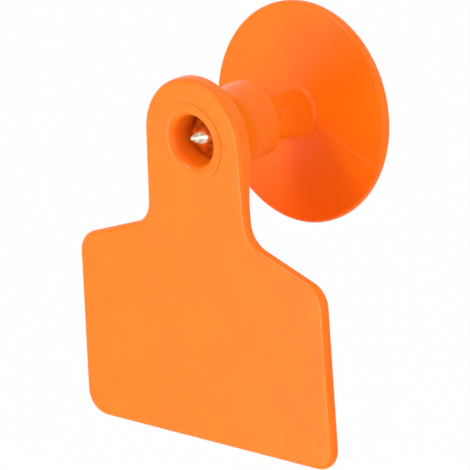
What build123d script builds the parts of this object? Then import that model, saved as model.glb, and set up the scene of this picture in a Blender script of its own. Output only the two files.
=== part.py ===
from build123d import *
import os

# Two-piece livestock ear tag, locked together and hanging by its stem. Lengths in millimetres.
# +Y runs along the stem, from the point to the back of the button, and +Z is up.
# The origin is on the stem's axis, in the plane of the button's rim that faces the ear.

# Flag plate: outline, measured from the axis of its hole
head_radius = 8.4
neck_foot_half_width = 8.8
neck_foot_drop = 12.25
shoulder_half_width = 21.45
shoulder_drop = 16.65
bottom_half_width = 21.8
bottom_drop = 41.4
neck_corner_radius = 3.65
plate_corner_radius = 3.25

# Flag plate: section, with its edge roundings as shares of the thickness
plate_thickness = 1.2
front_edge_share = 0.62
back_edge_share = 0.25

# Collar on the back of the head, with its length measured from the front face
collar_radius = 5.25
collar_length = 12.3
collar_edge_radius = 1.3
flare_radius = 6.4

# Mouth of the hole in the front face
mouth_lip_radius = 1.0
land_margin = 0.75
land_height = 0.12

# Button: disc
disc_radius = 14.72
rim_thickness = 1.3
rim_edge_radius = 0.5
hub_rise = 0.6

# Metal point, held in the stem's nose by a barbed spigot
point_radius = 3.1
point_length = 4.1
point_skirt = 0.25
point_nose_radius = 0.2
point_nose_rounding = 0.15
spigot_core_radius = 1.15
spigot_barb_radius = 1.55
spigot_lead_radius = 0.85
spigot_neck = 0.5
spigot_barb_pitch = 0.8
spigot_barbs = 2

# Button: hollow stem, with stations measured from the rim's plane towards the point
stem_foot_radius = 3.25
stem_foot_fillet = 0.7
ear_stem_radius = 2.85
ear_stem_station = 4.6
waist_blend_radius = 4.0
head_station = 15.6
head_length = 1.25
head_inset = 0.05
arrow_head_radius = point_radius - head_inset
nose_station = head_station + head_length
apex_station = nose_station + point_length

# Button: bore for the applicator's pin, which stops at a web behind the spigot
applicator_bore_radius = 1.3
applicator_mouth_chamfer = 0.35
bore_web = 1.35
spigot_end_station = nose_station - spigot_neck - spigot_barbs * spigot_barb_pitch
bore_floor_station = spigot_end_station - bore_web

# How the flag hangs: the play in the lock lets it tilt, in degrees, about a place ahead of the arrow head
hang_tilt = 6.0
tilt_centre_depth = 4.1
tilt_centre_reach = 1.2
tilt_centre_station = head_station + tilt_centre_reach

# Lock inside the collar: chamber round the point, throat behind the arrow head, and coned lead-in
chamber_play = 0.3
throat_grip = 0.3
throat_play = 0.65
throat_slack = 0.55
throat_length = 2.05
throat_rear_rounding = 0.3
lead_in_play = 0.85
cut_overrun = 1.0
chamber_radius = point_radius + chamber_play
throat_radius = arrow_head_radius - throat_grip
throat_front = tilt_centre_depth + tilt_centre_reach + throat_slack
throat_rear = throat_front + throat_length
lead_in_radius = ear_stem_radius + lead_in_play

# Waist of the stem, which begins at the rear of the throat
waist_radius = throat_radius - throat_play
waist_station = head_station - throat_slack - throat_length


def turned(corners):
    """Solid turned about the Y axis from corners given as (radius, place along Y, rounding)."""
    outline = Polyline([(radius, place) for radius, place, _ in corners], close=True)
    section = make_face(outline)
    for radius, place, rounding in corners:
        if rounding > 0:
            corner = section.vertices().sort_by_distance((radius, place, 0))[0]
            section = fillet(corner, rounding)
    return revolve(section, axis=Axis.Y)


def rounded_pair(outline, half_width, drop, radius):
    """Outline with its left and right corners at this drop rounded."""
    for place in ((-half_width, -drop, 0), (half_width, -drop, 0)):
        corner = outline.vertices().sort_by_distance(place)[0]
        outline = fillet(corner, radius)
    return outline


def flag_outline():
    """Flag seen from the front: round head, tapering neck, sloped shoulders and wide body."""
    neck_foot_left = (-neck_foot_half_width, -neck_foot_drop)
    neck_foot_right = (neck_foot_half_width, -neck_foot_drop)
    neck_foot = Line(neck_foot_left, neck_foot_right)
    neck = make_hull(Circle(head_radius).edges() + neck_foot.edges())
    body = make_face(
        Polyline(
            neck_foot_left,
            neck_foot_right,
            (shoulder_half_width, -shoulder_drop),
            (bottom_half_width, -bottom_drop),
            (-bottom_half_width, -bottom_drop),
            (-shoulder_half_width, -shoulder_drop),
            close=True,
        )
    )
    outline = neck + body
    outline = rounded_pair(outline, neck_foot_half_width, neck_foot_drop, neck_corner_radius)
    outline = rounded_pair(outline, shoulder_half_width, shoulder_drop, plate_corner_radius)
    return rounded_pair(outline, bottom_half_width, bottom_drop, plate_corner_radius)


def flared_collar():
    """Collar on a slab as thick as the plate, with a concave flare that is still open at the head's edge."""
    return turned(
        [
            (0, 0, 0),
            (shoulder_half_width, 0, 0),
            (shoulder_half_width, plate_thickness, 0),
            (collar_radius, plate_thickness, flare_radius),
            (collar_radius, collar_length, collar_edge_radius),
            (0, collar_length, 0),
        ]
    )


def soften_outer_edges(moulding):
    """Round the edges where the moulding's side wall meets its back, and then those round its front."""
    front = moulding.faces().sort_by(Axis.Y)[0]
    front_edges = front.edges()
    walls = [face for face in moulding.faces() if any(edge in front_edges for edge in face.edges())]
    walls.remove(front)
    wall_edges = [edge for wall in walls for edge in wall.edges()]
    back_edges = [edge for edge in wall_edges if wall_edges.count(edge) == 1 and edge not in front_edges]
    moulding = fillet(back_edges, back_edge_share * plate_thickness)
    front = moulding.faces().sort_by(Axis.Y)[0]
    return fillet(front.edges(), front_edge_share * plate_thickness)


def mouth_land():
    """Low round land that stands proud of the front face round the rounded mouth of the hole."""
    land_radius = chamber_radius + mouth_lip_radius + land_margin
    return turned(
        [
            (0, -land_height, 0),
            (land_radius, -land_height, 0),
            (land_radius, plate_thickness, 0),
            (0, plate_thickness, 0),
        ]
    )


def lock_cavity():
    """Space inside the collar: open chamber for the arrow head, narrow throat, and a coned lead-in."""
    front = -land_height - cut_overrun
    rear = collar_length + cut_overrun
    return turned(
        [
            (0, front, 0),
            (chamber_radius, front, 0),
            (chamber_radius, throat_front, 0),
            (throat_radius, throat_front, 0),
            (throat_radius, throat_rear, throat_rear_rounding),
            (lead_in_radius, collar_length, 0),
            (lead_in_radius, rear, 0),
            (0, rear, 0),
        ]
    )


def flag():
    """Flag moulding in its own frame: front face in the plane y = 0, axis of the collar on Y."""
    outline = Plane.XZ * flag_outline()
    plate = extrude(outline, -plate_thickness)
    head = flared_collar() & extrude(outline, -collar_length)
    moulding = soften_outer_edges(plate + head) + mouth_land() - lock_cavity()
    land = moulding.faces().sort_by(Axis.Y)[0]
    mouth = land.edges().sort_by(lambda edge: edge.radius)[0]
    return fillet(mouth, mouth_lip_radius)


def spigot_corners():
    """Barbed spigot from the nose of the stem inwards, each barb steep on the side of the point."""
    station = nose_station - spigot_neck
    corners = [(spigot_core_radius, -nose_station, 0), (spigot_core_radius, -station, 0)]
    for barb in range(spigot_barbs):
        innermost = barb == spigot_barbs - 1
        corners.append((spigot_barb_radius, -station, 0))
        station -= spigot_barb_pitch
        corners.append((spigot_lead_radius if innermost else spigot_core_radius, -station, 0))
    corners.append((0, -station, 0))
    return corners


def male_button():
    """Disc, hollow stem and arrow head, turned as one, with the spigot's socket in the nose."""
    return turned(
        [
            (applicator_bore_radius, rim_thickness - applicator_mouth_chamfer, 0),
            (applicator_bore_radius + applicator_mouth_chamfer, rim_thickness, 0),
            (disc_radius, rim_thickness, rim_edge_radius),
            (disc_radius, 0, rim_edge_radius),
            (stem_foot_radius, -hub_rise, stem_foot_fillet),
            (ear_stem_radius, -ear_stem_station, 0),
            (waist_radius, -waist_station, waist_blend_radius),
            (waist_radius, -head_station, 0),
            (arrow_head_radius, -head_station, 0),
            (arrow_head_radius, -nose_station, 0),
            *spigot_corners(),
            (0, -bore_floor_station, 0),
            (applicator_bore_radius, -bore_floor_station, 0),
        ]
    )


def metal_tip():
    """Coned point with a short skirt, and the spigot behind it."""
    return turned(
        [
            (0, -apex_station, 0),
            (point_nose_radius, -apex_station, point_nose_rounding),
            (point_radius, -nose_station - point_skirt, 0),
            (point_radius, -nose_station, 0),
            *spigot_corners(),
        ]
    )


def hung(moulding):
    """Flag moulding locked on the stem, tilted by its play so that its foot swings in under the button."""
    centre_to_origin = Pos(0, -tilt_centre_depth, 0)
    tilt = Rot(hang_tilt, 0, 0)
    onto_stem = Pos(0, -tilt_centre_station, 0)
    return onto_stem * tilt * centre_to_origin * moulding


parts = {
    "male_button": male_button(),
    "metal_tip": metal_tip(),
    "tag_panel": hung(flag()),
}

os.makedirs("parts", exist_ok=True)
for node, solid in parts.items():
    export_step(solid, f"parts/{node}.step")
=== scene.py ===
"""Two-piece livestock ear tag in bright orange plastic, dressed for a plain studio photograph."""

import logging
import math
from dataclasses import dataclass
from enum import Enum
from typing import NamedTuple

import bpy
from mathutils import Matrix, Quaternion, Vector


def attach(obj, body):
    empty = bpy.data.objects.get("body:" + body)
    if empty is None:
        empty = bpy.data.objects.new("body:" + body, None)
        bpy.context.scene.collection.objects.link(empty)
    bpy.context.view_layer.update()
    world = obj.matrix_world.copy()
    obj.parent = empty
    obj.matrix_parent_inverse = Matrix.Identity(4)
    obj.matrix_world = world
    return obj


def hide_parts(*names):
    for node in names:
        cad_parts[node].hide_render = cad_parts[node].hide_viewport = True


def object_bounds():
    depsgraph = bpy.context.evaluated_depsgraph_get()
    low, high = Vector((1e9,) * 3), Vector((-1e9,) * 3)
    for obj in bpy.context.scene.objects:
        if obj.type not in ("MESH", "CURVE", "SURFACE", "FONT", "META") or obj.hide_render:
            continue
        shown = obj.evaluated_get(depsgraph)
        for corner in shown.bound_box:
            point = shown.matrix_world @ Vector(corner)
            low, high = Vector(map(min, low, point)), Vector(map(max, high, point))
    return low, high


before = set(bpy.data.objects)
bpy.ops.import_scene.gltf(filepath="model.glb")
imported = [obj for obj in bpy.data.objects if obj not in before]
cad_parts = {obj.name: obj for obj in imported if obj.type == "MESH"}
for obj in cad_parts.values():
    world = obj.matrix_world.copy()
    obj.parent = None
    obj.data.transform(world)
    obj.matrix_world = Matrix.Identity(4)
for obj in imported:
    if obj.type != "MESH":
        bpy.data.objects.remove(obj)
cad_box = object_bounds()

# Metres in a millimetre, and turns in radians
MM = 0.001
FULL_TURN = 2.0 * math.pi
QUARTER_TURN = 0.5 * math.pi

# Points nearer to each other than this, in metres, become one
WELD_REACH = 1e-6

# Angles past which an edge stays sharp, in degrees
TURNED_SHARP = 30.0
RIDGE_SHARP = 60.0

# Sides of a fine ridge's round section, and of the ring that an ejector pin left
RIDGE_SIDES = 8
RING_SIDES = 48

# Value that noise lies around
NOISE_MIDDLE = 0.5

log = logging.getLogger("ear_tag")

# A colour, a node's properties by name, and what goes into its inputs, by name or number
Colour = tuple[float, float, float]
Settings = dict[str, object]
Sockets = dict[str | int, object]


class Signal:
    """An output socket that can be used in Python arithmetic, in shader trees and in geometry trees."""

    def __init__(self, graph: "Graph", socket: bpy.types.NodeSocket) -> None:
        """Keeps the socket and the graph that new Math nodes go to."""
        self.graph = graph
        self.socket = socket

    def maths(self, operation: str, *others: object) -> "Signal":
        """Adds one Math node with this signal first.

        Args:
            operation: Blender's name for the operation.
            others: the second and third operands, signals or numbers.

        Returns:
            The node's result.
        """
        return self.graph.maths(operation, self, *others)

    def __add__(self, other: object) -> "Signal":
        """self + other"""
        return self.maths("ADD", other)

    def __sub__(self, other: object) -> "Signal":
        """self - other"""
        return self.maths("SUBTRACT", other)

    def __mul__(self, other: object) -> "Signal":
        """self * other"""
        return self.maths("MULTIPLY", other)

    def __truediv__(self, other: object) -> "Signal":
        """self / other"""
        return self.maths("DIVIDE", other)

    def __rsub__(self, other: object) -> "Signal":
        """other - self"""
        return self.graph.maths("SUBTRACT", other, self)

    def __rtruediv__(self, other: object) -> "Signal":
        """other / self"""
        return self.graph.maths("DIVIDE", other, self)

    __radd__ = __add__
    __rmul__ = __mul__

    def clamped(self) -> "Signal":
        """This signal kept between 0 and 1."""
        return self.maths("MINIMUM", 1.0).maths("MAXIMUM", 0.0)

    def ramp(self, start: float, end: float) -> "Signal":
        """A smooth step from 0 to 1.

        Args:
            start: the value of this signal that gives 0.
            end: the value that gives 1, which may lie below start.

        Returns:
            The step.
        """
        sockets = {"Value": self, "From Min": start, "From Max": end}
        return self.graph.out("ShaderNodeMapRange", "Result", {"interpolation_type": "SMOOTHSTEP"}, sockets)


class Graph:
    """Writes nodes into one tree, of a material, a world or a geometry group."""

    def __init__(self, tree: bpy.types.NodeTree) -> None:
        """Keeps the tree, emptied."""
        self.tree = tree
        tree.nodes.clear()

    def add(
        self,
        kind: str,
        settings: Settings | None = None,
        sockets: Sockets | None = None,
    ) -> bpy.types.Node:
        """Makes one node.

        Args:
            kind: the node's type.
            settings: its properties, set before its sockets.
            sockets: values, signals or sockets for its inputs, by name or number.

        Returns:
            The new node.
        """
        node = self.tree.nodes.new(kind)
        for name, value in (settings or {}).items():
            setattr(node, name, value)
        for key, value in (sockets or {}).items():
            self.feed(node.inputs[key], value)
        return node

    def feed(self, socket: bpy.types.NodeSocket, value: object) -> None:
        """Links a signal or an output to an input, or sets the input's own value.

        Args:
            socket: the input.
            value: a signal, an output socket or a plain value.
        """
        if isinstance(value, Signal):
            self.tree.links.new(value.socket, socket)
        elif isinstance(value, bpy.types.NodeSocket):
            self.tree.links.new(value, socket)
        else:
            socket.default_value = value

    def maths(self, operation: str, *operands: object) -> Signal:
        """One Math node.

        Args:
            operation: Blender's name for the operation.
            operands: signals or numbers, in order.

        Returns:
            The node's result.
        """
        return self.out("ShaderNodeMath", 0, {"operation": operation}, dict(enumerate(operands)))

    def out(
        self,
        kind: str,
        name: str | int,
        settings: Settings | None = None,
        sockets: Sockets | None = None,
    ) -> Signal:
        """Makes one node and returns one of its outputs.

        Args:
            kind: the node's type.
            name: the output's name or number.
            settings: its properties.
            sockets: values or links for its inputs.

        Returns:
            The output as a signal.
        """
        return Signal(self, self.add(kind, settings, sockets).outputs[name])

    def split(self, vector: Signal) -> list[Signal]:
        """The X, Y and Z of a vector."""
        outputs = self.add("ShaderNodeSeparateXYZ", {}, {0: vector}).outputs
        return [Signal(self, output) for output in outputs]

    def mixed(self, factor: object, first: object, second: object) -> Signal:
        """A colour between two others.

        Args:
            factor: 0 for the first, 1 for the second.
            first: a colour or a signal.
            second: a colour or a signal.

        Returns:
            The mixed colour.
        """
        pair = {"Factor": factor, "A": padded(first), "B": padded(second)}
        node = self.add("ShaderNodeMix", {"data_type": "RGBA"})
        # The node has sockets of the same names for each type of data.
        for name, value in pair.items():
            kind = "VALUE" if name == "Factor" else "RGBA"
            named = (socket for socket in node.inputs if socket.name == name)
            self.feed(next(socket for socket in named if socket.type == kind), value)
        return Signal(self, next(socket for socket in node.outputs if socket.type == "RGBA"))

    def noise(self, place: object, feature: float, detail: float = 2.0) -> Signal:
        """Soft noise around its middle value.

        Args:
            place: the coordinates, in metres.
            feature: the size of one blotch, in metres.
            detail: how many finer octaves it has.

        Returns:
            The noise.
        """
        sockets = {"Vector": place, "Scale": 1.0 / feature, "Detail": detail}
        return self.out("ShaderNodeTexNoise", "Fac", {}, sockets)


class MaterialGraph(Graph):
    """Writes nodes into a material of its own."""

    def __init__(self, name: str) -> None:
        """Makes the material.

        Args:
            name: its name.
        """
        self.material = bpy.data.materials.new(name)
        self.material.use_nodes = True
        super().__init__(self.material.node_tree)

    def bump(self, height: Signal) -> Signal:
        """The surface's normal, bent by a relief that is given in metres."""
        sockets = {"Strength": 1.0, "Distance": 1.0, "Height": height}
        return self.out("ShaderNodeBump", "Normal", {}, sockets)

    def close(self, shader: bpy.types.Node) -> bpy.types.Material:
        """Ends the tree with a shader, and gives the material."""
        self.add("ShaderNodeOutputMaterial", {}, {"Surface": shader.outputs[0]})
        return self.material


def padded(colour: object) -> object:
    """A plain colour with its alpha added, or anything else as it is."""
    return (*colour, 1.0) if isinstance(colour, tuple) else colour


class Surface(Enum):
    """How the mould that a plastic face came out of was finished."""

    SPARK_ERODED = "fine matt grain"
    TURNED = "fine grain over faint rings from the lathe"


@dataclass(frozen=True)
class MouldedPlastic:
    """Soft, slightly waxy orange plastic.

    Lengths in millimetres. The glow's shares tell how much of its reach red, green and blue light have.
    """

    colour: Colour = (0.985, 0.185, 0.004)
    deep_colour: Colour = (0.98, 0.168, 0.003)
    flow_share: float = 0.8
    flow_detail: float = 3.0
    speck_share: float = 0.2
    speck_detail: float = 1.0
    shade_start: float = 0.32
    shade_end: float = 0.68
    roughness: float = 0.30
    roughness_spread: float = 0.10
    grain: float = 0.16
    grain_height: float = 0.0028
    waviness: float = 7.0
    waviness_height: float = 0.012
    waviness_detail: float = 1.0
    ring_pitch: float = 0.22
    ring_height: float = 0.0011
    glow: float = 0.6
    glow_reach: float = 1.1
    glow_reach_shares: Colour = (1.0, 0.4, 0.2)
    ior: float = 1.49
    gloss: float = 0.22

    def height(self, graph: Graph, place: Signal, surface: Surface) -> Signal:
        """Relief of the face, in metres.

        Args:
            graph: the material's tree.
            place: Object coordinates.
            surface: how the mould was finished.

        Returns:
            The height.
        """
        grain = graph.noise(place, self.grain * MM) * (self.grain_height * MM)
        waves = graph.noise(place, self.waviness * MM, self.waviness_detail) * (self.waviness_height * MM)
        relief = grain + waves
        if surface is Surface.TURNED:
            across, _, up = graph.split(place)
            radius = graph.maths("SQRT", across * across + up * up)
            turn = radius * (FULL_TURN / (self.ring_pitch * MM))
            relief = relief + turn.maths("SINE") * (self.ring_height * MM)
        return relief

    def material(self, name: str, surface: Surface) -> bpy.types.Material:
        """Makes the material.

        Args:
            name: its name.
            surface: how the mould was finished.

        Returns:
            The material.
        """
        graph = MaterialGraph(name)
        place = graph.out("ShaderNodeTexCoord", "Object")
        flow = graph.noise(place, self.waviness * MM, self.flow_detail)
        speck = graph.noise(place, self.grain * MM, self.speck_detail)
        shade = (flow * self.flow_share + speck * self.speck_share).ramp(self.shade_start, self.shade_end)
        sockets = {
            "Base Color": graph.mixed(shade, self.deep_colour, self.colour),
            "Roughness": (speck - NOISE_MIDDLE) * self.roughness_spread + self.roughness,
            "IOR": self.ior,
            "Specular IOR Level": self.gloss,
            "Subsurface Weight": self.glow,
            "Subsurface Radius": self.glow_reach_shares,
            "Subsurface Scale": self.glow_reach * MM,
            "Normal": graph.bump(self.height(graph, place, surface)),
        }
        return graph.close(graph.add("ShaderNodeBsdfPrincipled", {}, sockets))


@dataclass(frozen=True)
class NickelPlate:
    """Bright plated steel with fine marks from turning.

    Lengths in millimetres, apart from the marks' wander, which is an angle in radians.
    """

    colour: Colour = (0.84, 0.74, 0.58)
    dull_colour: Colour = (0.44, 0.37, 0.26)
    shade_start: float = 0.35
    shade_end: float = 0.65
    roughness: float = 0.03
    roughness_spread: float = 0.08
    mark_pitch: float = 0.11
    mark_height: float = 0.0007
    mark_wander: float = 3.0
    blotch: float = 0.9
    blotch_detail: float = 2.0

    def material(self, name: str) -> bpy.types.Material:
        """Makes the material.

        Args:
            name: its name.

        Returns:
            The material.
        """
        graph = MaterialGraph(name)
        place = graph.out("ShaderNodeTexCoord", "Object")
        _, along, _ = graph.split(place)
        blotches = graph.noise(place, self.blotch * MM, self.blotch_detail)
        turn = along * (FULL_TURN / (self.mark_pitch * MM)) + blotches * self.mark_wander
        shade = blotches.ramp(self.shade_start, self.shade_end)
        sockets = {
            "Base Color": graph.mixed(shade, self.dull_colour, self.colour),
            "Roughness": blotches * self.roughness_spread + self.roughness,
            "Metallic": 1.0,
            "Normal": graph.bump(turn.maths("SINE") * (self.mark_height * MM)),
        }
        return graph.close(graph.add("ShaderNodeBsdfPrincipled", {}, sockets))


class Corner(NamedTuple):
    """One corner of a turned section, in millimetres from the axis and along Y."""

    radius: float
    station: float
    rounding: float = 0.0


class GeometryTree:
    """A geometry group with named inputs, and the way it is used on an object."""

    def __init__(self, name: str, inputs: dict[str, str]) -> None:
        """Makes the group.

        Args:
            name: the group's name.
            inputs: each input's name and the type of its socket.
        """
        self.tree = bpy.data.node_groups.new(name, "GeometryNodeTree")
        self.graph = Graph(self.tree)
        panel = self.tree.interface
        panel.new_socket("Geometry", in_out="INPUT", socket_type="NodeSocketGeometry")
        panel.new_socket("Geometry", in_out="OUTPUT", socket_type="NodeSocketGeometry")
        for label, kind in inputs.items():
            panel.new_socket(label, in_out="INPUT", socket_type=kind)
        self.group = self.graph.add("NodeGroupInput")

    def given(self, name: str) -> Signal:
        """One of the group's inputs."""
        return Signal(self.graph, self.group.outputs[name])

    def chain(
        self,
        geometry: Signal,
        kind: str,
        settings: Settings | None = None,
        sockets: Sockets | None = None,
    ) -> Signal:
        """Sends geometry through one node.

        Args:
            geometry: what goes into the node's first input.
            kind: the node's type.
            settings: its properties.
            sockets: values or links for its other inputs.

        Returns:
            The node's first output.
        """
        return self.graph.out(kind, 0, settings, {0: geometry, **(sockets or {})})

    def circle(self, sides: int, radius: Signal) -> Signal:
        """A round curve in the XY plane."""
        sockets = {"Resolution": sides, "Radius": radius}
        return self.graph.out("GeometryNodeCurvePrimitiveCircle", 0, {"mode": "RADIUS"}, sockets)

    def close(self, geometry: Signal) -> None:
        """Ends the group: smooth, realized, and with its finish set.

        Args:
            geometry: the group's shape.
        """
        smooth = self.chain(geometry, "GeometryNodeSetShadeSmooth")
        real = self.chain(smooth, "GeometryNodeRealizeInstances")
        dressed = self.chain(real, "GeometryNodeSetMaterial", {}, {"Material": self.given("Finish")})
        self.graph.add("NodeGroupOutput", {}, {0: dressed})

    def apply(
        self,
        seed: bpy.types.Mesh,
        name: str,
        values: dict[str, object],
        sharp_deg: float,
    ) -> bpy.types.Object:
        """Runs the group on a mesh and keeps the result as a plain mesh.

        Args:
            seed: the mesh that the group starts from.
            name: the new object's name.
            values: the inputs' values, by name.
            sharp_deg: the angle past which an edge stays sharp.

        Returns:
            The new object, at the origin, with no modifier left on it.
        """
        source = new_object(name + "_seed", seed)
        modifier = source.modifiers.new("shape", "NODES")
        modifier.node_group = self.tree
        for item in self.tree.interface.items_tree:
            if item.in_out == "INPUT" and item.name in values:
                modifier[item.identifier] = values[item.name]
        mesh = finished_mesh(source)
        bpy.data.objects.remove(source)
        mesh.name = name
        mesh.set_sharp_from_angle(angle=math.radians(sharp_deg))
        return weighted(new_object(name, mesh))


def new_object(name: str, data: bpy.types.ID) -> bpy.types.Object:
    """Puts a mesh, a lamp or a camera into the scene.

    Args:
        name: the object's name.
        data: what it shows.

    Returns:
        The object.
    """
    item = bpy.data.objects.new(name, data)
    bpy.context.scene.collection.objects.link(item)
    return item


def finished_mesh(piece: bpy.types.Object) -> bpy.types.Mesh:
    """A plain mesh of a piece as its modifiers leave it."""
    depsgraph = bpy.context.evaluated_depsgraph_get()
    return bpy.data.meshes.new_from_object(piece.evaluated_get(depsgraph), depsgraph=depsgraph)


def weighted(piece: bpy.types.Object) -> bpy.types.Object:
    """Weighs each corner's normal by the size of its faces, so that flats beside small rounds look flat.

    Args:
        piece: an object with a mesh.

    Returns:
        The same object, with its new normals in its mesh.
    """
    modifier = piece.modifiers.new("normals", "WEIGHTED_NORMAL")
    modifier.keep_sharp = True
    mesh = finished_mesh(piece)
    piece.modifiers.remove(modifier)
    old = piece.data
    piece.data = mesh
    bpy.data.meshes.remove(old)
    mesh.name = piece.name
    return piece


def section_mesh(name: str, corners: list[Corner]) -> bpy.types.Mesh:
    """A chain of edges in the XY plane through a section's corners.

    Args:
        name: the mesh's name.
        corners: the corners in order, in millimetres.

    Returns:
        The mesh, with each corner's rounding as an attribute.
    """
    mesh = bpy.data.meshes.new(name)
    points = [(corner.radius * MM, corner.station * MM, 0.0) for corner in corners]
    edges = [(first, first + 1) for first in range(len(points) - 1)]
    mesh.from_pydata(points, edges, [])
    rounding = mesh.attributes.new("rounding", "FLOAT", "POINT")
    rounding.data.foreach_set("value", [corner.rounding * MM for corner in corners])
    return mesh


def rounded_section(tree: GeometryTree) -> Signal:
    """The seed's chain of edges as a curve, with its corners rounded as their attribute says.

    Args:
        tree: a group that has the input Rounding Steps.

    Returns:
        The curve.
    """
    curve = tree.chain(tree.given("Geometry"), "GeometryNodeMeshToCurve")
    number = {"data_type": "FLOAT"}
    rounding = tree.graph.out("GeometryNodeInputNamedAttribute", "Attribute", number, {"Name": "rounding"})
    sockets = {"Count": tree.given("Rounding Steps"), "Radius": rounding, "Limit Radius": True}
    return tree.chain(curve, "GeometryNodeFilletCurve", {"mode": "POLY"}, sockets)


def lathe_tree() -> GeometryTree:
    """A group that turns a section round the Y axis into a closed skin.

    Returns:
        The group, with inputs Segments, Rounding Steps, Weld and Finish.
    """
    kinds = {
        "Segments": "NodeSocketInt",
        "Rounding Steps": "NodeSocketInt",
        "Weld": "NodeSocketFloat",
        "Finish": "NodeSocketMaterial",
    }
    tree = GeometryTree("turn_on_lathe", kinds)
    graph = tree.graph
    curve = rounded_section(tree)
    of_curve = {"component": "CURVE"}
    stations = graph.out("GeometryNodeAttributeDomainSize", "Point Count", of_curve, {0: curve})
    segments = tree.given("Segments")
    # Each point of a flat sheet goes to a station of the section, by its row, and to a turn, by its column.
    index = graph.out("GeometryNodeInputIndex", 0)
    column = (index / stations).maths("FLOOR")
    row = index - column * stations
    position = graph.out("GeometryNodeInputPosition", 0)
    per_point = {"data_type": "FLOAT_VECTOR", "domain": "POINT"}
    wanted = {0: curve, "Value": position, "Index": row}
    radius, station, _ = graph.split(graph.out("GeometryNodeSampleIndex", 0, per_point, wanted))
    angle = column * FULL_TURN / segments
    turned = {"X": radius * angle.maths("COSINE"), "Y": station, "Z": radius * angle.maths("SINE")}
    turned_place = graph.out("ShaderNodeCombineXYZ", 0, {}, turned)
    # The last column falls on the first, and the weld joins them and closes the ends on the axis.
    counts = {"Vertices X": segments + 1.0, "Vertices Y": stations}
    sheet = graph.out("GeometryNodeMeshGrid", 0, {}, counts)
    skin = tree.chain(sheet, "GeometryNodeSetPosition", {}, {"Position": turned_place})
    tree.close(tree.chain(skin, "GeometryNodeMergeByDistance", {}, {"Distance": tree.given("Weld")}))
    return tree


def seam_tree() -> GeometryTree:
    """A group that lays a fine ridge along a section, on both sides of the axis.

    Returns:
        The group, with inputs Turn, Sides, Ridge Radius, Rounding Steps and Finish.
    """
    kinds = {
        "Turn": "NodeSocketFloat",
        "Sides": "NodeSocketInt",
        "Ridge Radius": "NodeSocketFloat",
        "Rounding Steps": "NodeSocketInt",
        "Finish": "NodeSocketMaterial",
    }
    tree = GeometryTree("parting_line", kinds)
    graph = tree.graph
    curve = rounded_section(tree)
    sides = tree.given("Sides")
    # One point for each side, all at the origin, carries a turned copy of the curve.
    origins = graph.out("GeometryNodeMeshLine", 0, {}, {"Count": sides, "Offset": (0.0, 0.0, 0.0)})
    index = graph.out("GeometryNodeInputIndex", 0)
    turn = tree.given("Turn") + index * FULL_TURN / sides
    rotation = graph.out("ShaderNodeCombineXYZ", 0, {}, {"Y": turn})
    side = {"Instance": curve, "Rotation": rotation}
    copies = tree.chain(origins, "GeometryNodeInstanceOnPoints", {}, side)
    lines = tree.chain(copies, "GeometryNodeRealizeInstances")
    ridge = {"Profile Curve": tree.circle(RIDGE_SIDES, tree.given("Ridge Radius")), "Fill Caps": True}
    tree.close(tree.chain(lines, "GeometryNodeCurveToMesh", {}, ridge))
    return tree


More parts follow.
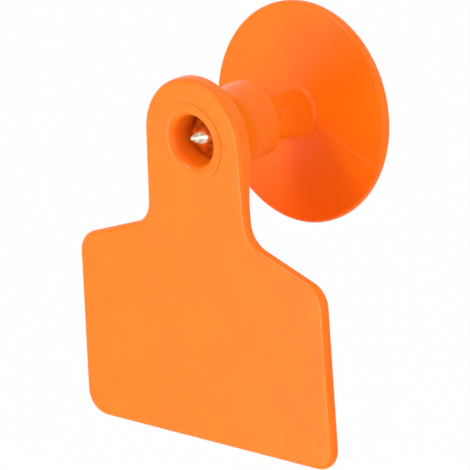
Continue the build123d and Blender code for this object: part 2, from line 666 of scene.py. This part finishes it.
@dataclass
class Button:
    """Round button with its hollow stem and arrow head. Lengths in millimetres, stations along Y."""

    disc_radius: float = 14.72
    rim_thickness: float = 1.3
    rim_edge_radius: float = 0.5
    hub_rise: float = 0.6
    stem_foot_radius: float = 3.25
    stem_foot_fillet: float = 0.7
    ear_stem_radius: float = 2.85
    ear_stem_station: float = 4.6
    waist_radius: float = 2.1
    waist_station: float = 13.0
    waist_blend: float = 4.0
    head_station: float = 15.6
    head_length: float = 1.25
    head_radius: float = 3.05
    bore_radius: float = 1.3
    bore_floor: float = 13.4
    bore_mouth_chamfer: float = 0.35
    seam_turn_deg: float = -21.3
    seam_sides: int = 2
    seam_radius: float = 0.1
    seam_proud: float = 0.035
    segments: int = 192
    rounding_steps: int = 8

    def outer_section(self) -> list[Corner]:
        """The section's outside.

        Returns:
            Its corners, from the back of the rim to the nose of the head.
        """
        nose = self.head_station + self.head_length
        return [
            Corner(self.disc_radius, self.rim_thickness, self.rim_edge_radius),
            Corner(self.disc_radius, 0.0, self.rim_edge_radius),
            Corner(self.stem_foot_radius, -self.hub_rise, self.stem_foot_fillet),
            Corner(self.ear_stem_radius, -self.ear_stem_station),
            Corner(self.waist_radius, -self.waist_station, self.waist_blend),
            Corner(self.waist_radius, -self.head_station),
            Corner(self.head_radius, -self.head_station),
            Corner(self.head_radius, -nose),
            Corner(0.0, -nose),
        ]

    def bore_section(self) -> list[Corner]:
        """The applicator's bore.

        Returns:
            Its corners, from its floor out to the button's back.
        """
        return [
            Corner(0.0, -self.bore_floor),
            Corner(self.bore_radius, -self.bore_floor),
            Corner(self.bore_radius, self.rim_thickness - self.bore_mouth_chamfer),
            Corner(self.bore_radius + self.bore_mouth_chamfer, self.rim_thickness),
        ]

    def moulding(self, lathe: GeometryTree, finish: bpy.types.Material) -> bpy.types.Object:
        """The whole button as one turned skin, in place of its CAD node.

        Args:
            lathe: the group that turns a section.
            finish: its plastic.

        Returns:
            The button.
        """
        section = section_mesh("button_section", self.bore_section() + self.outer_section())
        values = {
            "Segments": self.segments,
            "Rounding Steps": self.rounding_steps,
            "Weld": WELD_REACH,
            "Finish": finish,
        }
        piece = lathe.apply(section, "button_moulding", values, TURNED_SHARP)
        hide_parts("male_button")
        return self.settle(piece)

    def disc_station(self, radius: float) -> float:
        """Where the face towards the ear lies at this radius, along Y."""
        return -self.hub_rise * (self.disc_radius - radius) / (self.disc_radius - self.stem_foot_radius)

    def parting_line(self, seam: GeometryTree, finish: bpy.types.Material) -> bpy.types.Object:
        """The fine ridge that the two halves of the mould left across the disc's face towards the ear.

        Args:
            seam: the group that lays a ridge along a section.
            finish: its plastic.

        Returns:
            The ridge.
        """
        sunk = self.seam_radius - self.seam_proud
        ends = (self.disc_radius - self.rim_edge_radius, self.stem_foot_radius + self.stem_foot_fillet)
        front = [Corner(radius, self.disc_station(radius) + sunk) for radius in ends]
        values = {
            "Turn": math.radians(-self.seam_turn_deg),
            "Sides": self.seam_sides,
            "Ridge Radius": self.seam_radius * MM,
            "Rounding Steps": self.rounding_steps,
            "Finish": finish,
        }
        section = section_mesh("seam_section", front)
        return self.settle(seam.apply(section, "button_parting_line", values, RIDGE_SHARP))

    def settle(self, piece: bpy.types.Object) -> bpy.types.Object:
        """Makes a piece move with the button, by hanging it on the button's body."""
        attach(piece, "button")
        return piece

    def build(self, lathe: GeometryTree, seam: GeometryTree) -> list[bpy.types.Object]:
        """Builds and dresses the button.

        Args:
            lathe: the group that turns a section.
            seam: the group that lays a ridge along a section.

        Returns:
            Its pieces.
        """
        finish = MouldedPlastic().material("button_orange", Surface.TURNED)
        thin = MouldedPlastic(glow=0.0).material("parting_line_orange", Surface.TURNED)
        return [self.moulding(lathe, finish), self.parting_line(seam, thin)]


@dataclass
class MetalPoint:
    """Plated point on the stem's nose. Lengths in millimetres, stations along Y."""

    nose_station: float = 16.85
    radius: float = 3.1
    length: float = 4.1
    skirt: float = 0.25
    nose_radius: float = 0.2
    nose_rounding: float = 0.15
    spigot_radius: float = 1.15
    spigot_barb_radius: float = 1.55
    spigot_lead_radius: float = 0.85
    spigot_neck: float = 0.5
    spigot_barb_pitch: float = 0.8
    spigot_barbs: int = 2
    segments: int = 128
    rounding_steps: int = 6

    def section(self) -> list[Corner]:
        """The point's section.

        Returns:
            Its corners, from the apex round to the inner end of the spigot.
        """
        corners = [
            Corner(0.0, -self.nose_station - self.length),
            Corner(self.nose_radius, -self.nose_station - self.length, self.nose_rounding),
            Corner(self.radius, -self.nose_station - self.skirt),
            Corner(self.radius, -self.nose_station),
            Corner(self.spigot_radius, -self.nose_station),
        ]
        station = self.nose_station - self.spigot_neck
        corners.append(Corner(self.spigot_radius, -station))
        for barb in range(self.spigot_barbs):
            innermost = barb == self.spigot_barbs - 1
            lead_radius = self.spigot_lead_radius if innermost else self.spigot_radius
            corners.append(Corner(self.spigot_barb_radius, -station))
            station -= self.spigot_barb_pitch
            corners.append(Corner(lead_radius, -station))
        corners.append(Corner(0.0, -station))
        return corners

    def build(self, lathe: GeometryTree) -> list[bpy.types.Object]:
        """Builds and dresses the point.

        Args:
            lathe: the group that turns a section.

        Returns:
            Its one piece.
        """
        values = {
            "Segments": self.segments,
            "Rounding Steps": self.rounding_steps,
            "Weld": WELD_REACH,
            "Finish": NickelPlate().material("bright_nickel"),
        }
        section = section_mesh("point_section", self.section())
        piece = lathe.apply(section, "metal_point", values, TURNED_SHARP)
        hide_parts("metal_tip")
        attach(piece, "button")
        return [piece]


def pin_mark_tree() -> GeometryTree:
    """A group that lays a fine ring round each point of its seed, and then tilts and places them all.

    Returns:
        The group, with inputs Ring Radius, Ridge Radius, Tilt, Place and Finish.
    """
    kinds = {
        "Ring Radius": "NodeSocketFloat",
        "Ridge Radius": "NodeSocketFloat",
        "Tilt": "NodeSocketFloat",
        "Place": "NodeSocketVector",
        "Finish": "NodeSocketMaterial",
    }
    tree = GeometryTree("ejector_pin_marks", kinds)
    path = tree.circle(RING_SIDES, tree.given("Ring Radius"))
    profile = tree.circle(RIDGE_SIDES, tree.given("Ridge Radius"))
    ring = tree.chain(path, "GeometryNodeCurveToMesh", {}, {"Profile Curve": profile})
    upright = {"Instance": ring, "Rotation": (QUARTER_TURN, 0.0, 0.0)}
    rings = tree.chain(tree.given("Geometry"), "GeometryNodeInstanceOnPoints", {}, upright)
    tilt = tree.graph.out("ShaderNodeCombineXYZ", 0, {}, {"X": tree.given("Tilt")})
    placed = {"Translation": tree.given("Place"), "Rotation": tilt}
    tree.close(tree.chain(rings, "GeometryNodeTransform", {}, placed))
    return tree


@dataclass
class Flag:
    """Flag moulding, which keeps its CAD node. Lengths in millimetres, places as on the flat flag."""

    node: str = "tag_panel"
    plate_thickness: float = 1.2
    hang_tilt_deg: float = 6.0
    tilt_centre_depth: float = 4.1
    tilt_centre_station: float = 16.8
    pin_mark_radius: float = 1.6
    pin_mark_ridge: float = 0.12
    pin_mark_proud: float = 0.07
    pin_mark_half_spacing: float = 14.5
    pin_mark_drops: tuple[float, float] = (22.5, 35.5)

    def pin_marks(self, marks: GeometryTree, finish: bpy.types.Material) -> bpy.types.Object:
        """The rings that the mould's four ejector pins left on the back of the plate.

        Args:
            marks: the group that lays the rings.
            finish: their plastic.

        Returns:
            The rings.
        """
        depth = self.plate_thickness - self.pin_mark_ridge + self.pin_mark_proud - self.tilt_centre_depth
        sides = (-self.pin_mark_half_spacing, self.pin_mark_half_spacing)
        centres = [(side * MM, depth * MM, -drop * MM) for side in sides for drop in self.pin_mark_drops]
        seed = bpy.data.meshes.new("pin_mark_centres")
        seed.from_pydata(centres, [], [])
        values = {
            "Ring Radius": self.pin_mark_radius * MM,
            "Ridge Radius": self.pin_mark_ridge * MM,
            "Tilt": math.radians(self.hang_tilt_deg),
            "Place": (0.0, -self.tilt_centre_station * MM, 0.0),
            "Finish": finish,
        }
        piece = marks.apply(seed, "flag_pin_marks", values, RIDGE_SHARP)
        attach(piece, "flag")
        return piece

    def build(self, marks: GeometryTree) -> list[bpy.types.Object]:
        """Dresses the flag.

        Args:
            marks: the group that lays the ejector pins' rings.

        Returns:
            Its pieces.
        """
        finish = MouldedPlastic().material("flag_orange", Surface.SPARK_ERODED)
        thin = MouldedPlastic(glow=0.0).material("pin_mark_orange", Surface.SPARK_ERODED)
        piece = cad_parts[self.node]
        piece.data.materials.clear()
        piece.data.materials.append(finish)
        return [piece, self.pin_marks(marks, thin)]


def face_point(
    item: bpy.types.Object,
    aim: Vector,
    azimuth: float,
    elevation: float,
    distance: float,
) -> None:
    """Places a lamp or the camera round a point, and turns it to face that point.

    Args:
        item: the lamp or the camera.
        aim: the point.
        azimuth: how far round from the front it stands, in degrees, as in the views.
        elevation: how high it stands, in degrees.
        distance: how far off it stands, in metres.
    """
    turn, rise = math.radians(azimuth), math.radians(elevation)
    back = Vector((math.sin(turn) * math.cos(rise), -math.cos(turn) * math.cos(rise), math.sin(rise)))
    item.location = aim + back * distance
    item.rotation_mode = "QUATERNION"
    item.rotation_quaternion = (-back).to_track_quat("-Z", "Y")


@dataclass(frozen=True)
class Softbox:
    """Square lamp that faces the tag, with its angles in degrees and its lengths in metres.

    Its level sets how much light reaches the tag, whatever the lamp's distance.
    """

    name: str
    azimuth: float
    elevation: float
    distance: float
    side: float
    level: float

    def build(self, aim: Vector) -> bpy.types.Object:
        """Makes the lamp.

        Args:
            aim: the point that it faces.

        Returns:
            The lamp.
        """
        lamp = bpy.data.lights.new(self.name, "AREA")
        lamp.size = self.side
        lamp.energy = self.level * math.pi**2 * self.distance**2
        body = new_object(self.name, lamp)
        face_point(body, aim, self.azimuth, self.elevation, self.distance)
        return body


@dataclass
class Studio:
    """White floor, white surroundings, soft lamps and the camera.

    Lengths in metres, apart from those named in pixels, and angles in degrees.
    """

    floor_side: float = 8.0
    floor_gap: float = 0.36
    floor_colour: Colour = (0.9, 0.9, 0.9)
    floor_whiteness: float = 0.985
    sky_colour: Colour = (1.0, 1.0, 1.0)
    ambient: float = 0.64
    frame_px: float = 470.0
    focal_px: float = 9666.6
    sensor_width: float = 0.036
    camera_azimuth: float = 42.178
    camera_elevation: float = 14.332
    camera_roll: float = 0.865
    camera_distance: float = 1.26172
    camera_aim: tuple[float, float, float] = (-0.0034126, -0.0084955, -0.0156727)
    lamps: tuple[Softbox, ...] = (
        Softbox("key", azimuth=-20.0, elevation=40.0, distance=1.0, side=0.28, level=0.34),
        Softbox("low_fill", azimuth=-20.0, elevation=-20.0, distance=0.6, side=0.3, level=0.50),
        Softbox("right_fill", azimuth=66.0, elevation=0.0, distance=1.0, side=0.5, level=0.24),
        Softbox("back_fill", azimuth=180.0, elevation=20.0, distance=1.0, side=0.5, level=0.15),
        Softbox("rim_light", azimuth=120.0, elevation=42.0, distance=1.0, side=0.12, level=0.14),
    )

    def seen_white(self, graph: Graph) -> Signal:
        """Tells the rays that show the surroundings from those that light the tag.

        Args:
            graph: the tree of the floor's material or of the world.

        Returns:
            1 for a ray straight from the camera, off gloss or through glass, and 0 for the rest.
        """
        rays = graph.add("ShaderNodeLightPath").outputs
        straight = Signal(graph, rays["Is Camera Ray"])
        off_gloss = Signal(graph, rays["Is Glossy Ray"])
        through_glass = Signal(graph, rays["Is Transmission Ray"])
        return (straight + off_gloss + through_glass).clamped()

    def paper(self) -> bpy.types.Material:
        """The floor's finish, which shows white and keeps a little of the tag's shadow.

        Returns:
            The material.
        """
        graph = MaterialGraph("white_paper")
        paper = graph.add("ShaderNodeBsdfDiffuse", {}, {"Color": padded(self.floor_colour)})
        glow = graph.add("ShaderNodeEmission", {}, {"Strength": 1.0})
        share = self.seen_white(graph) * self.floor_whiteness
        sockets = {0: share, 1: paper.outputs[0], 2: glow.outputs[0]}
        return graph.close(graph.add("ShaderNodeMixShader", {}, sockets))

    def floor(self) -> bpy.types.Object:
        """Lays the floor below the tag.

        Returns:
            The floor.
        """
        low = cad_box[0].z - self.floor_gap
        half = self.floor_side / 2.0
        corners = [(-half, -half, low), (half, -half, low), (half, half, low), (-half, half, low)]
        mesh = bpy.data.meshes.new("floor")
        mesh.from_pydata(corners, [], [(0, 1, 2, 3)])
        mesh.materials.append(self.paper())
        floor = new_object("floor", mesh)
        return floor

    def surroundings(self) -> bpy.types.World:
        """Makes the world, which is white where it is seen and dimmer as a light.

        Returns:
            The world.
        """
        world = bpy.data.worlds.new("studio")
        world.use_nodes = True
        graph = Graph(world.node_tree)
        strength = self.seen_white(graph) * (1.0 - self.ambient) + self.ambient
        sockets = {"Color": padded(self.sky_colour), "Strength": strength}
        sky = graph.add("ShaderNodeBackground", {}, sockets)
        graph.add("ShaderNodeOutputWorld", {}, {"Surface": sky.outputs[0]})
        bpy.context.scene.world = world
        return world

    def camera(self) -> bpy.types.Object:
        """Places the camera where the photograph was taken from.

        Returns:
            The camera.
        """
        data = bpy.data.cameras.new("camera")
        data.sensor_width = self.sensor_width / MM
        data.lens = self.focal_px / self.frame_px * data.sensor_width
        camera = new_object("camera", data)
        aim = Vector(self.camera_aim)
        face_point(camera, aim, self.camera_azimuth, self.camera_elevation, self.camera_distance)
        roll = Quaternion((0.0, 0.0, 1.0), math.radians(self.camera_roll))
        camera.rotation_quaternion = camera.rotation_quaternion @ roll
        bpy.context.scene.camera = camera
        return camera

    def build(self) -> None:
        """Sets up everything round the tag."""
        bpy.context.scene.view_settings.view_transform = "Standard"
        self.floor()
        self.surroundings()
        for lamp in self.lamps:
            lamp.build(Vector(self.camera_aim))
        self.camera()


def main() -> None:
    """Builds the tag's pieces in order, reports them, and sets up the studio."""
    logging.basicConfig(level=logging.INFO, format="%(name)s: %(message)s")
    lathe, seam, marks = lathe_tree(), seam_tree(), pin_mark_tree()
    pieces = [*Flag().build(marks), *Button().build(lathe, seam), *MetalPoint().build(lathe)]
    for piece in pieces:
        log.info("%s: %d faces", piece.name, len(piece.data.polygons))
    Studio().build()


if __name__ == "__main__":
    main()
